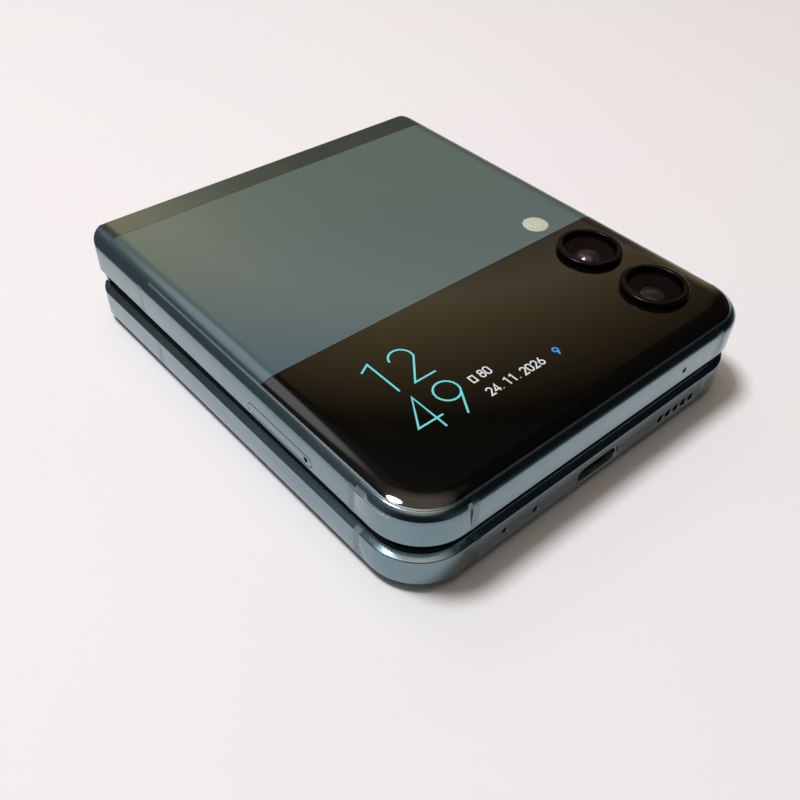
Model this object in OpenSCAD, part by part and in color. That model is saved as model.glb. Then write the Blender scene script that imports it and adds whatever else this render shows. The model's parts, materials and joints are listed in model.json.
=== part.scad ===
// A pocket telephone that folds in half across its width, drawn closed.
// Two thin halves turn on a hinge rail with two parallel axes.
// The row frame has +X to the right, +Y towards the hinge and +Z up through the cover screen.
// The back of the lower half lies on z = 0, and the origin is the middle of the closed outline.

/* [Overall] */
// Width across the two long sides
body_w = 72.2; // [66:0.1:80]
// Thickness of one half without its lenses
half_t = 6.9; // [6.4:0.1:8]
// Distance from the origin to the free ends
free_y = 43.2; // [40:0.1:48]
// Distance from the origin to the hinge axes
axis_y = 38.15; // [36:0.05:42]
// Distance between the two hinge axes, which is also the gap at the hinge
hinge_gap = 3.3; // [3.1:0.05:4]
// Gap between the two halves at their free ends when closed
tip_gap = 2.1; // [1.6:0.05:2.8]
// Corner radius of the outline at the free end
corner_r = 8.5; // [7.5:0.1:11]
// Corner radius of the outline at the hinge end
hinge_corner_r = 4; // [3:0.1:5]

/* [Side rail] */
// Height above the display side where the flat side starts to round over
side_h = 4.85; // [4.2:0.05:5.3]
// How far the rounded back edge runs in from the side
edge_run = 4.2; // [3.6:0.1:5]
// How far the joint between rail and glass lies in from the side
glass_inset = 1.2; // [0.9:0.05:1.6]
// Wall thickness of the side rail
wall_t = 2; // [1.8:0.05:2.4]
// Chamfer of the rail on the display side
rail_bevel = 1.1; // [0.3:0.05:1.15]
// Depth of the rail's edge below the raised rim of the display
rail_drop = 0.12; // [0.05:0.01:0.2]
// Width of a band of polymer that splits the metal rail
band_w = 1.2; // [0.8:0.1:1.6]
// Depth of that band in the rail
band_depth = 1; // [0.6:0.1:1.2]

/* [Back glass] */
// Thickness of the back glass at its middle
glass_t = 0.78; // [0.6:0.02:1]
// Place of the metal strip between the glass and the hinge end, from the hinge axis
strip_run = 3.75; // [3.2:0.05:4.2]
// Distance from the origin to the seam between the cover screen glass and the tinted glass
seam_y = 9.6; // [8:0.1:12]

/* [Display] */
// Depth of the flexible display below its raised rim
display_drop = 0.3; // [0.28:0.01:0.34]
// Thickness of the flexible display
display_t = 0.38; // [0.3:0.01:0.4]
// Thickness of the steel plate under the display
backing_t = 0.22; // [0.15:0.01:0.24]
// Gap between display and steel plate
backing_gap = 0.06; // [0.05:0.01:0.08]
// Thickness of the middle plate of a half
mid_t = 0.4; // [0.3:0.05:0.5]
// Inner edge of the raised rim, from the side
rim_w = 3.2; // [2.6:0.1:4]
// Length of each half of the display that bends, from the hinge axis
bend_run = 6; // [5:0.1:7]
// Height of the soft pads that keep the halves apart
pad_h = 0.5; // [0.3:0.05:0.7]
// Radius of the hole for the inner camera
punch_r = 1.9; // [1.6:0.05:2.1]

/* [Hinge] */
// Outer radius of the hinge rail about each axis
spine_r = 5.05; // [4.9:0.05:5.2]
// Wall thickness of the hinge rail
spine_t = 0.6; // [0.4:0.05:0.7]
// Distance of the rail's ends from the sides of the telephone
spine_inset = 3; // [2.9:0.1:4]
// Inner radius of the curved slider on a half
slider_r = 3.2; // [3.1:0.02:3.3]
// Radial thickness of that slider
slider_t = 0.7; // [0.5:0.05:0.8]
// Width of a slider along the hinge
slider_w = 6; // [5:0.1:7]
// Running clearance of a slider in its groove
slider_fit = 0.05; // [0.03:0.01:0.08]
// Distance from the ends of the hinge rail to the inner slider of each pair
slider_in = 20.1; // [19:0.1:21]
// Distance between the sliders of a pair
slider_pitch = 10; // [9:0.1:11]

/* [Cameras] */
// Distance of both lenses from the right side
lens_in = 10.35; // [10.1:0.05:12]
// Distance of the wide lens from the origin, towards the free end
lens_wide_y = 17.1; // [16:0.1:18]
// Distance of the ultra wide lens from the origin, towards the free end
lens_ultra_y = 30.4; // [29:0.1:31]
// Outer radius of a lens ring
lens_ring_r = 5.5; // [5:0.05:6]
// Height of a lens ring above the glass
lens_ring_h = 1; // [0.6:0.05:1.4]
// Radius of the clear lens
lens_r = 3.9; // [3.4:0.05:4.2]
// Radius of the lamp beside the lenses
lamp_r = 2.25; // [1.8:0.05:2.5]
// Distance of the lamp from the right side
lamp_in = 11.4; // [10.1:0.1:13]
// Distance of the lamp from the origin, towards the free end
lamp_y = 6; // [5:0.1:6.5]

/* [Keys and card tray] */
// Length of the volume key
volume_len = 18; // [14:0.5:19]
// Centre of the volume key from the origin, towards the free end
volume_y = 14.5; // [13:0.5:16]
// Length of the power key
power_len = 15; // [12:0.5:17]
// Centre of the power key from the origin, towards the hinge
power_y = 8; // [7:0.5:12]
// Height of a key along the thickness of the telephone
key_h = 2.2; // [1.8:0.1:2.4]
// How far a key stands out of the side
key_proud = 0.3; // [0.2:0.05:0.4]
// Travel of a key when it is pressed
key_travel = 0.25; // [0.15:0.05:0.3]
// Length of the card tray's face
tray_len = 14.8; // [14.6:0.1:17]
// Height of the card tray's face
tray_h = 1.7; // [1.5:0.05:1.8]
// Centre of the card tray from the origin, towards the free end
tray_y = 15.3; // [14:0.1:18]
// How far the card tray reaches into the half
tray_depth = 11.2; // [10.6:0.1:12.4]

/* [Socket and sound holes] */
// Width of the charging socket
socket_w = 9; // [8.8:0.05:9.2]
// Height of the charging socket
socket_h = 3.2; // [3:0.05:3.3]
// Depth of the charging socket
socket_depth = 7.5; // [6.5:0.1:8]
// Radius of a microphone hole
mic_r = 0.45; // [0.3:0.05:0.6]
// Number of slots in front of the loudspeaker
slot_count = 5; // [3:1:6]

/* [Hidden] */
$fn = 48;

// Small clearances between pieces that are fitted together
fit = 0.05;
key_fit = 0.06;
// Angle of the closed upper half, because its free end lies closer
fold_len = free_y + axis_y;
tilt = asin((hinge_gap - tip_gap) / fold_len);
// Outline
side_x = body_w / 2;
// Each half's end face stops short of the middle between the axes
end_gap = 0.15;
end_y = axis_y + hinge_gap / 2 - end_gap;
strip_y = axis_y - strip_run;
edge_steps = 8;
edge_drop = half_t - side_h;
glass_edge = acos(1 - glass_inset / edge_run);
glass_fit_edge = acos(1 - (glass_inset + fit) / edge_run);
rail_side = 0.62;
glass_seat = half_t - glass_t;
seat_w = 1.5;
// Layers of a half, measured from its display side
display_bottom = display_drop + display_t;
backing_top = display_bottom + backing_gap;
layer_top = backing_top + backing_t;
mid_bottom = layer_top + mid_t;
rim_in = 1.25;
rim_seat_w = 1.6;
panel_in = rim_seat_w + fit;
rim_run = 1.7;
// Hinge
pocket_r = spine_r + 0.1;
pocket_wall_y = axis_y - pocket_r - 0.1;
pocket_wall_t = 1;
spine_in_r = spine_r - spine_t;
spine_x = side_x - spine_inset;
spine_lip = hinge_gap / 2 + 0.2;
end_cap_t = 0.6;
guide_face = 1.05;
pocket_x = spine_x + 0.2;
mid_end_y = axis_y - 8.15;
neck_t = 0.48;
neck_top = layer_top + fit;
neck_end = 8;
neck_relief = neck_top + neck_t + 0.12;
pad_t = 0.5;
pad_run = 11;
slider_start = 158;
slider_end = 60;
groove_end = 38;
slider_x = spine_x - slider_in;
guide_x = slider_x - slider_w;
guide_len = 2 * slider_w + slider_pitch + 2;
guide_screw_x = slider_x + slider_pitch / 2;
// Screws
screw_r = 0.48;
screw_hole_r = 0.5;
screw_head_r = 1.1;
screw_head_t = 0.4;
post_r = 1.5;
// Inner covers
upper_cover_h = 4.75;
lower_cover_h = 5.4;
cover_t = 0.4;
lower_cover_in = glass_inset + seat_w + 0.1;
upper_cover_end = -seam_y + 0.2;
lower_cover_end = -15;
upper_posts = [
    [16.6 - side_x, -seam_y - 1.3],
    [side_x - 19.6, -seam_y - 1.5],
    [20.1 - side_x, 4.8 - free_y],
    [side_x - 19.5, 5 - free_y]
];
lower_posts = [
    [5.1 - side_x, 26.2 - free_y],
    [side_x - 4.7, 24.2 - free_y],
    [7.9 - side_x, 6.2 - free_y],
    [side_x - 29.2, 4.8 - free_y]
];
// Batteries
battery_x = side_x - 5.1;
battery_gap = 0.05;
battery_end = axis_y - pad_run - 0.3;
upper_battery_y = -6.3;
upper_battery_h = 5.2;
lower_battery_y = -14;
lower_battery_h = 5.25;
coil_in = 15.1;
// Boards
board_t = 0.7;
upper_board_h = mid_bottom + 1.4;
lower_board_h = mid_bottom + 1.55;
board_in = wall_t + 0.4;
upper_board_x = side_x - 16.5;
upper_board_end = -8.2;
shield_h = 1.15;
shield_t = 0.2;
shield_places = [[11.1 - side_x, -5], [-2, upper_board_x - 4.6]];
shield_y = [10.2 - free_y, -seam_y - 4.4];
lower_board_left = 15.1 - side_x;
lower_mic_side = 1.8;
// Cover screen
screen_w = 43;
screen_d = 21.9;
screen_x = screen_w / 2 + 5.1 - side_x;
screen_y = -24.25;
screen_t = 0.85;
// Cameras
lens_x = side_x - lens_in;
lamp_x = side_x - lamp_in;
lens_tube_r = lens_ring_r - 0.8;
lens_seat_h = 1.2;
lens_glass_t = 0.3;
camera_side = 9.5;
camera_base_t = 2.8;
camera_barrel_r = lens_r - 0.2;
lamp_side = 5;
lamp_base_t = 0.6;
inner_camera_y = -36.6;
inner_camera_r = punch_r + 0.1;
inner_camera_seat_r = inner_camera_r + 0.9;
// Keys
key_mid = 3.45;
key_flange_t = 0.3;
key_flange_w = 0.3;
switch_t = 0.6;
bracket_t = 0.5;
upper_cover_in = wall_t + key_flange_t + key_travel + 0.2;
// Card tray
tray_mid = 1.9;
tray_face_t = 1.1;
tray_body_t = 0.9;
tray_body_len = tray_len - 2.2;
tray_shift = 0.85;
card_w = 8.8;
card_len = 12.3;
card_t = 0.62;
pin_hole_r = 0.4;
reader_t = 0.15;
reader_depth = 12.4;
// Socket and sound
socket_mid = 3.6;
socket_wall = 0.3;
tongue_w = 6.6;
tongue_t = 0.7;
slot_w = 1.45;
slot_h = 1.2;
slot_pitch = 1.95;
slot_x = 18.9;
slot_mid = 3.45;
lower_mics = [[-13.4, 3.2], [-19.6, 2.95]];
upper_mics = [[17.8, 2.84]];
speaker_x = side_x - 26.5;
speaker_w = 20;
speaker_y = -40;
speaker_d = 17.6;
// Antenna bands, as places along the sides and the free end
upper_bands_near = [-31.1, 21.8];
upper_bands_far = [-31.1, 24];
upper_bands_end = [10.1 - side_x, side_x - 10.1];
lower_bands_near = [-32, 18.5];
lower_bands_far = [-32, 18.5];
lower_bands_end = [11.2 - side_x, side_x - 11.2];

// Points of the rounded back edge between two angles, as inset from the side and height
function edge_points(a, b) = [
    for (i = [0:edge_steps])
        let (t = a + (b - a) * i / edge_steps)
        [edge_run * (1 - cos(t)), side_h + edge_drop * sin(t)]
];
// Section of the side rail up to its joint with the glass
rail_points = concat(
    [[0, rail_side]],
    edge_points(0, glass_edge),
    [
        [glass_inset, glass_seat],
        [glass_inset + seat_w, glass_seat],
        [glass_inset + seat_w, glass_seat - 0.3],
        [wall_t, glass_seat - 1],
        [wall_t, layer_top],
        [rim_in - fit, layer_top],
        [rim_in - fit, rail_drop],
        [rail_bevel, rail_drop]
    ]
);
// Section of the glass along its edge
glass_points = concat(
    [[glass_inset + fit, glass_seat]],
    edge_points(glass_fit_edge, 90),
    [[edge_run, glass_seat]]
);
// Section of the raised rim round the display
rim_points = [
    [rim_in, 0.25],
    [rim_in + 0.3, 0],
    [rim_w - 0.2, 0],
    [rim_w, 0.12],
    [rim_w, display_drop - 0.02],
    [rim_seat_w, display_drop - 0.02],
    [rim_seat_w, layer_top - 0.02],
    [rim_in, layer_top - 0.02]
];

// Places what is drawn in a half, with its display side on z = 0 and its back at z = half_t
module in_lower() {
    translate([0, 0, half_t])
        mirror([0, 0, 1])
            children();
}
// The hinge frame has the lower axis at its origin and the upper axis above it
module in_hinge() {
    translate([0, axis_y, half_t])
        rotate([tilt / 2, 0, 0])
            children();
}
module in_upper() {
    in_hinge()
        translate([0, 0, hinge_gap])
            rotate([tilt / 2, 0, 0])
                translate([0, -axis_y, 0])
                    children();
}
// Turns a drawing in the plane of y and z into a bar along x that starts at x0
module along_x(x0, len) {
    translate([x0, 0, 0])
        rotate([90, 0, 90])
            linear_extrude(len)
                children();
}
module both_sides() {
    children();
    mirror([1, 0, 0])
        children();
}
// Straight stretch of a section along the right side
module side_bar(points, y_a, y_b) {
    translate([side_x, y_b, 0])
        rotate([90, 0, 0])
            linear_extrude(y_b - y_a)
                polygon([for (p = points) [-p[0], p[1]]]);
}
// A section that runs along both sides and round the free end
module around(points, y_b) {
    both_sides() {
        side_bar(points, corner_r - free_y, y_b);
        translate([side_x - corner_r, corner_r - free_y, 0])
            rotate([0, 0, -90])
                rotate_extrude(angle = 90)
                    polygon([for (p = points) [corner_r - p[0], p[1]]]);
    }
    translate([0, -free_y, 0])
        along_x(corner_r - side_x, body_w - 2 * corner_r)
            polygon(points);
}
// Outline of a half, drawn in by an inset, from the free end to y_b
module outline(inset, y_b) {
    r = corner_r - inset;
    x = side_x - inset;
    y = r + inset - free_y;
    translate([-x, y])
        square([2 * x, y_b - y]);
    translate([r - x, y - r])
        square([2 * (x - r), r]);
    for (side = [-1, 1])
        translate([side * (x - r), y])
            circle(r);
}
module plate(inset, y_b, z, t) {
    translate([0, 0, z])
        linear_extrude(t)
            outline(inset, y_b);
}
module block(x, y, z) {
    translate([x[0], y[0], z[0]])
        cube([x[1] - x[0], y[1] - y[0], z[1] - z[0]]);
}
// A pill shape of length w and height h, round at both ends
module pill(w, h) {
    translate([(h - w) / 2, -h / 2])
        square([w - h, h]);
    for (side = [-1, 1])
        translate([side * (w - h) / 2, 0])
            circle(h / 2);
}
// A pill cut along y, such as a slot in the free end
module pill_y(x, z, w, h, y_a, y_b) {
    translate([x, y_b, z])
        rotate([90, 0, 0])
            linear_extrude(y_b - y_a)
                pill(w, h);
}
// A pill cut along x, such as a key in a side
module pill_x(y, z, w, h, x_a, x_b) {
    translate([0, y, z])
        along_x(x_a, x_b - x_a)
            pill(w, h);
}
module post(at, z_a, z_b, r) {
    translate([at[0], at[1], z_a])
        cylinder(h = z_b - z_a, r = r);
}

// ---- Pieces that both halves have ----

// The outside of a half at its hinge end
module hinge_end_form() {
    back = edge_points(0, 90);
    chamfer = 0.4;
    intersection() {
        translate([0, 0, rail_drop])
            linear_extrude(half_t)
                hinge_end_outline();
        translate([0, end_y, 0])
            rotate([90, 0, 0])
                linear_extrude(end_y - strip_y)
                    polygon(concat(
                        [[rail_bevel - side_x, rail_drop], [-side_x, rail_side]],
                        [for (p = back) [p[0] - side_x, p[1]]],
                        [for (i = [edge_steps:-1:0]) [side_x - back[i][0], back[i][1]]],
                        [[side_x, rail_side], [side_x - rail_bevel, rail_drop]]
                    ));
        along_x(-side_x, body_w)
            polygon([
                [strip_y, 0],
                [end_y, 0],
                [end_y, half_t - chamfer],
                [end_y - chamfer, half_t],
                [strip_y, half_t]
            ]);
    }
}
module hinge_end_outline() {
    y = end_y - hinge_corner_r;
    x = side_x - hinge_corner_r;
    translate([-side_x, strip_y])
        square([body_w, y - strip_y]);
    translate([-x, y])
        square([2 * x, hinge_corner_r]);
    for (side = [-1, 1])
        translate([side * x, y])
            circle(hinge_corner_r);
}
// The half's frame: side rail, middle plate, hinge end and screw posts
module half_frame(posts, post_top) {
    wall_bottom = neck_top + neck_t + pad_t;
    back_wall = pocket_r - 0.55;
    difference() {
        union() {
            around(rail_points, strip_y);
            plate(wall_t - 0.2, mid_end_y, layer_top, mid_t);
            difference() {
                hinge_end_form();
                block(
                    [wall_t - side_x, side_x - wall_t],
                    [strip_y - 1, end_y + 1],
                    [layer_top, back_wall]
                );
                block(
                    [panel_in - side_x, side_x - panel_in],
                    [strip_y - 1, end_y + 1],
                    [-1, layer_top + fit]
                );
                both_sides()
                    block(
                        [side_x - panel_in - 1, side_x - rim_in + fit],
                        [strip_y - 1, axis_y - rim_run],
                        [-1, layer_top]
                    );
            }
            block(
                [wall_t - side_x - 0.1, side_x - wall_t + 0.1],
                [pocket_wall_y - pocket_wall_t, pocket_wall_y],
                [wall_bottom, glass_seat]
            );
            block(
                [wall_t - side_x - 0.1, side_x - wall_t + 0.1],
                [pocket_wall_y - 0.1, strip_y + 0.1],
                [back_wall, glass_seat]
            );
            for (p = posts)
                post(p, mid_bottom - 0.1, post_top, post_r);
        }
        translate([0, axis_y, 0])
            along_x(-pocket_x, 2 * pocket_x) {
                circle(pocket_r);
                square([hinge_gap, pocket_r]);
            }
        for (p = posts)
            post(p, mid_bottom + 0.6, post_top + 1, screw_hole_r);
    }
}
// Slabs that split the rail into antenna sections
module band_slabs(near, far, ends) {
    for (y = near)
        block([-side_x - 1, band_depth - side_x], [y - band_w / 2, y + band_w / 2], [0, half_t]);
    for (y = far)
        block([side_x - band_depth, side_x + 1], [y - band_w / 2, y + band_w / 2], [0, half_t]);
    for (x = ends)
        block([x - band_w / 2, x + band_w / 2], [-free_y - 1, band_depth - free_y], [0, half_t]);
}
module band_pieces(near, far, ends) {
    intersection() {
        around(rail_points, strip_y);
        band_slabs(near, far, ends);
    }
}
module edge_glass(y_b) {
    around(glass_points, y_b);
    plate(edge_run - 0.01, y_b, glass_seat, glass_t);
}
module display_rim() {
    side_end = axis_y - rim_run - fit;
    around(rim_points, side_end);
}
module display_panel() {
    plate(panel_in, axis_y - bend_run - fit, display_drop, display_t);
}
module backing_plate() {
    plate(panel_in, axis_y - rim_run - 0.3, backing_top, backing_t);
}
module cover_screw(at, z) {
    post(at, z, z + screw_head_t, screw_head_r);
    post(at, z - 2.6, z + 0.1, screw_r);
}
// Curved slider that carries a half on its virtual axis, drawn with y from the axis
module slider_section() {
    r = slider_r + slider_t;
    intersection() {
        difference() {
            circle(r);
            circle(slider_r);
        }
        polygon([
            [0, 0],
            2 * r * [cos(slider_start), sin(slider_start)],
            2 * r * [-1, 1.2],
            2 * r * [0, 1.2],
            2 * r * [cos(slider_end), sin(slider_end)]
        ]);
    }
    translate([-neck_end, neck_top])
        square([neck_end - slider_r * cos(180 - slider_start), neck_t]);
    translate([-pad_run, mid_bottom])
        square([pad_run - neck_end + 2.4, pad_t]);
}
module sliders(offset_x) {
    for (side = [-1, 1])
        translate([0, axis_y, 0])
            difference() {
                along_x(side * (slider_x + offset_x) - slider_w / 2, slider_w)
                    slider_section();
                for (dx = [-1, 1])
                    translate([0, -pad_run + 1.6, 0])
                        post(
                            [side * (slider_x + offset_x) + dx * slider_w / 4, 0],
                            0,
                            half_t,
                            screw_hole_r
                        );
            }
}
module slider_screws(offset_x) {
    top = mid_bottom + pad_t;
    for (side = [-1, 1], dx = [-1, 1]) {
        at = [side * (slider_x + offset_x) + dx * slider_w / 4, axis_y - pad_run + 1.6];
        post(at, top, top + screw_head_t, screw_head_r);
        post(at, mid_bottom + 0.05, top + 0.1, screw_r);
    }
}

// ---- Lower half ----

module lower_frame() {
    color("#3d565b")
        in_lower()
            difference() {
                half_frame(lower_posts, lower_cover_h);
                band_slabs(lower_bands_near, lower_bands_far, lower_bands_end);
                pill_y(0, socket_mid, socket_w + 2 * fit, socket_h + 2 * fit,
                    -free_y - 1, wall_t - free_y + 1);
                for (m = lower_mics)
                    pill_y(m[0], m[1], 2 * mic_r + 0.02, 2 * mic_r,
                        -free_y - 1, wall_t - free_y + 1);
                for (i = [0:slot_count - 1])
                    pill_y(slot_x + (i - (slot_count - 1) / 2) * slot_pitch, slot_mid,
                        slot_w, slot_h, -free_y - 1, wall_t - free_y + 1);
            }
}
module lower_back_glass() {
    color("#5c6b66")
        in_lower()
            edge_glass(strip_y - fit);
}
module lower_antenna_bands() {
    color("#4f686c")
        in_lower()
            band_pieces(lower_bands_near, lower_bands_far, lower_bands_end);
}
module lower_display_rim() {
    color("#17191b")
        in_lower()
            display_rim();
}
module lower_display_panel() {
    color("#0b0c0e")
        in_lower()
            display_panel();
}
module lower_backing_plate() {
    color("silver")
        in_lower()
            backing_plate();
}
module closing_pads() {
    color("#202020")
        in_lower()
            for (side = [-1, 1], y = [3 - free_y + corner_r, 8])
                translate([side * (side_x - (rim_in + rim_w) / 2), y, -pad_h])
                    cylinder(h = pad_h, r = 0.8);
}
module lower_battery() {
    color("#2b2d30")
        in_lower()
            block([-battery_x, battery_x], [lower_battery_y, battery_end],
                [mid_bottom + battery_gap, lower_battery_h]);
}
module coil_shield_sheet() {
    color("#44464a")
        in_lower()
            block([coil_in - side_x, side_x - coil_in], [lower_battery_y + 1, battery_end - 1],
                [lower_battery_h, lower_battery_h + 0.15]);
}
module charging_coil() {
    coil_r = side_x - coil_in - 2;
    coil_in_r = coil_r - 10;
    color("#b87333")
        in_lower()
            translate([0, (lower_battery_y + battery_end) / 2, lower_battery_h + 0.15])
                difference() {
                    cylinder(h = 0.35, r = coil_r);
                    translate([0, 0, -1])
                        cylinder(h = 3, r = coil_in_r);
                }
}
module lower_circuit_board() {
    color("#1f5a3c")
        in_lower() {
            board_y = socket_depth + 0.4 - free_y;
            block([lower_board_left, speaker_x - 2], [board_y, lower_battery_y - 1],
                [lower_board_h, lower_board_h + board_t]);
            block([lower_board_left, -socket_w / 2 - 1], [wall_t + 0.5 - free_y, board_y],
                [lower_board_h, lower_board_h + board_t]);
            for (x = [lower_board_left + 3, speaker_x - 4.5])
                block([x - 1, x + 1], [lower_battery_y - 3.5, lower_battery_y - 1.5],
                    [mid_bottom, lower_board_h]);
        }
}
module charging_socket() {
    y_a = 0.15 - free_y;
    y_b = socket_depth - free_y;
    color("#9aa0a3")
        in_lower() {
            difference() {
                pill_y(0, socket_mid, socket_w, socket_h, y_a, y_b);
                pill_y(0, socket_mid, socket_w - 2 * socket_wall, socket_h - 2 * socket_wall,
                    y_a - 1, y_b - 1);
            }
            block([-tongue_w / 2, tongue_w / 2], [y_a + 0.9, y_b - 0.9],
                [socket_mid - tongue_t / 2, socket_mid + tongue_t / 2]);
            block([-socket_w / 4, socket_w / 4], [y_b - 0.1, y_b + 0.4],
                [lower_board_h, lower_board_h + board_t]);
        }
}
module loudspeaker() {
    color("#26282a")
        in_lower()
            block([speaker_x, speaker_x + speaker_w], [speaker_y, speaker_y + speaker_d],
                [mid_bottom, lower_cover_h]);
}
module lower_microphone() {
    top = lower_board_h + board_t;
    color("#c9a25a")
        in_lower()
            block([lower_mics[0][0] - lower_mic_side, lower_mics[0][0] + lower_mic_side],
                [wall_t + 0.8 - free_y, wall_t + 3.6 - free_y],
                [top, top + 1.1]);
}
module vibration_motor() {
    color("#a8abad")
        in_lower()
            block([3.5 - side_x, 13.3 - side_x], [10.2 - free_y, 23.2 - free_y],
                [mid_bottom, mid_bottom + 3.2]);
}
module lower_inner_cover() {
    color("#1b1d1f")
        in_lower()
            difference() {
                plate(lower_cover_in, lower_cover_end, lower_cover_h, cover_t);
                for (p = lower_posts) {
                    post(p, 0, half_t, screw_hole_r);
                    post(p, lower_cover_h + cover_t - 0.1, half_t, screw_head_r + fit);
                }
            }
}
module lower_cover_screws() {
    color("silver")
        in_lower()
            for (p = lower_posts)
                cover_screw(p, lower_cover_h + cover_t - 0.1);
}
module lower_hinge_sliders() {
    color("#8d9296")
        in_lower()
            sliders(0);
}
module lower_hinge_screws() {
    color("silver")
        in_lower()
            slider_screws(0);
}

// ---- Hinge rail ----

module hinge_spine() {
    color("#34494e")
        in_hinge() {
            along_x(-spine_x, 2 * spine_x)
                difference() {
                    rail_form(spine_r, spine_lip);
                    rail_form(spine_in_r, spine_lip - 1);
                }
            both_sides()
                along_x(spine_x - end_cap_t, end_cap_t)
                    rail_form(spine_r - 0.1, guide_face);
        }
}
// Section of the rail: a disc about each axis, joined, and cut off at y = face
module rail_form(r, face) {
    intersection() {
        union() {
            circle(r);
            translate([0, hinge_gap])
                circle(r);
            square([r, hinge_gap]);
        }
        translate([face, -2 * r])
            square([2 * r, 4 * r + hinge_gap]);
    }
}
// The curved groove in which a slider of the lower half runs
module groove() {
    r = slider_r + slider_t + slider_fit;
    intersection() {
        difference() {
            circle(r);
            circle(slider_r - slider_fit);
        }
        polygon([
            [0, 0],
            [0, -2 * r],
            [2 * r, -2 * r],
            2 * r * [cos(groove_end), sin(groove_end)]
        ]);
    }
}
module guide() {
    slot = slider_w + 0.2;
    difference() {
        along_x(guide_x, guide_len)
            rail_form(spine_in_r, guide_face);
        along_x(slider_x - slot / 2, slot)
            groove();
        translate([0, 0, hinge_gap])
            mirror([0, 0, 1])
                along_x(slider_x + slider_pitch - slot / 2, slot)
                    groove();
        // Room for the flat necks of the sliders when the telephone is open
        block([slider_x - slot / 2, slider_x + slot / 2], [0, neck_relief], [-spine_r, -slider_r]);
        block(
            [slider_x + slider_pitch - slot / 2, slider_x + slider_pitch + slot / 2],
            [0, neck_relief],
            [hinge_gap + slider_r, hinge_gap + spine_r]
        );
        translate([guide_screw_x, 0, hinge_gap / 2])
            rotate([-90, 0, 0]) {
                cylinder(h = spine_r, r = screw_hole_r);
                cylinder(h = guide_face + screw_head_t + 0.1, r = screw_head_r + fit);
            }
    }
}
module hinge_guide_right() {
    color("#74797d")
        in_hinge()
            guide();
}
module hinge_guide_left() {
    color("#74797d")
        in_hinge()
            mirror([1, 0, 0])
                guide();
}
module hinge_guide_screws() {
    seat = guide_face + screw_head_t + 0.1;
    color("silver")
        in_hinge()
            both_sides()
                translate([guide_screw_x, 0, hinge_gap / 2])
                    rotate([-90, 0, 0]) {
                        translate([0, 0, seat - screw_head_t])
                            cylinder(h = screw_head_t, r = screw_head_r);
                        translate([0, 0, seat - 0.1])
                            cylinder(h = spine_in_r - seat + 0.05, r = screw_r);
                    }
}
// A strip that leaves one half, turns round behind the gap and enters the other
module u_section(top, t, bend_y, run) {
    r = hinge_gap / 2 + top + t;
    translate([-run, -top - t])
        square([run + bend_y, t]);
    translate([-run, hinge_gap + top])
        square([run + bend_y, t]);
    translate([bend_y, hinge_gap / 2])
        intersection() {
            difference() {
                circle(r);
                circle(r - t);
            }
            translate([0, -r])
                square([r, 2 * r]);
        }
}
module display_fold() {
    r = hinge_gap / 2 + display_drop + display_t / 2;
    bend_y = hinge_gap / 2 - r * PI / 2 + 0.005;
    color("#101215")
        in_hinge()
            along_x(panel_in - side_x, body_w - 2 * panel_in)
                u_section(display_drop, display_t, bend_y, bend_run);
}
module hinge_ribbon_cable() {
    half_w = guide_x - 3;
    cable_top = neck_top + 0.45;
    cable_t = 0.15;
    color("#b8743a")
        in_hinge() {
            along_x(-half_w, 2 * half_w)
                u_section(cable_top, cable_t, 0.9, 10.4);
            for (z = [-cable_top - cable_t - 0.7, hinge_gap + cable_top + cable_t])
                block([-half_w - 1, half_w + 1], [-10.6, -8.6], [z, z + 0.7]);
        }
}

// ---- Upper half ----

module key_cut(y, len) {
    pill_x(y, key_mid, len + 2 * key_fit, key_h + 2 * key_fit, side_x - wall_t - 1, side_x + 1);
}
module upper_frame() {
    color("#3d565b")
        in_upper()
            difference() {
                half_frame(upper_posts, upper_cover_h);
                band_slabs(upper_bands_near, upper_bands_far, upper_bands_end);
                key_cut(-volume_y, volume_len);
                key_cut(power_y, power_len);
                pill_x(-tray_y, tray_mid, tray_len + 2 * key_fit, tray_h + 2 * key_fit,
                    -side_x - 1, wall_t + 0.5 - side_x);
                for (m = upper_mics)
                    pill_y(m[0], m[1], 2 * mic_r + 0.02, 2 * mic_r,
                        -free_y - 1, wall_t - free_y + 1);
                post([0, inner_camera_y], 0, mid_bottom + 1, inner_camera_r + fit);
            }
}
module tinted_back_glass() {
    y_a = -seam_y;
    y_b = strip_y - fit;
    color("#5c6b66")
        in_upper()
            difference() {
                union() {
                    both_sides()
                        side_bar(glass_points, y_a, y_b);
                    block([edge_run - side_x - 0.01, side_x - edge_run + 0.01], [y_a, y_b],
                        [glass_seat, half_t]);
                }
                post([lamp_x, -lamp_y], 0, half_t + 1, lamp_r + fit);
            }
}
module cover_screen_glass() {
    color("#0c0d0f")
        in_upper()
            difference() {
                edge_glass(-seam_y - fit);
                for (y = [lens_wide_y, lens_ultra_y])
                    post([lens_x, -y], 0, half_t + 1, lens_tube_r + fit);
            }
}
module upper_antenna_bands() {
    color("#4f686c")
        in_upper()
            band_pieces(upper_bands_near, upper_bands_far, upper_bands_end);
}
module upper_display_rim() {
    color("#17191b")
        in_upper()
            display_rim();
}
module upper_display_panel() {
    color("#0b0c0e")
        in_upper()
            difference() {
                display_panel();
                post([0, inner_camera_y], 0, half_t, punch_r);
            }
}
module upper_backing_plate() {
    color("silver")
        in_upper()
            difference() {
                backing_plate();
                post([0, inner_camera_y], 0, half_t, inner_camera_r + fit);
            }
}
module upper_battery() {
    color("#2b2d30")
        in_upper()
            block([-battery_x, battery_x], [upper_battery_y, battery_end],
                [mid_bottom + battery_gap, upper_battery_h]);
}
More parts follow.
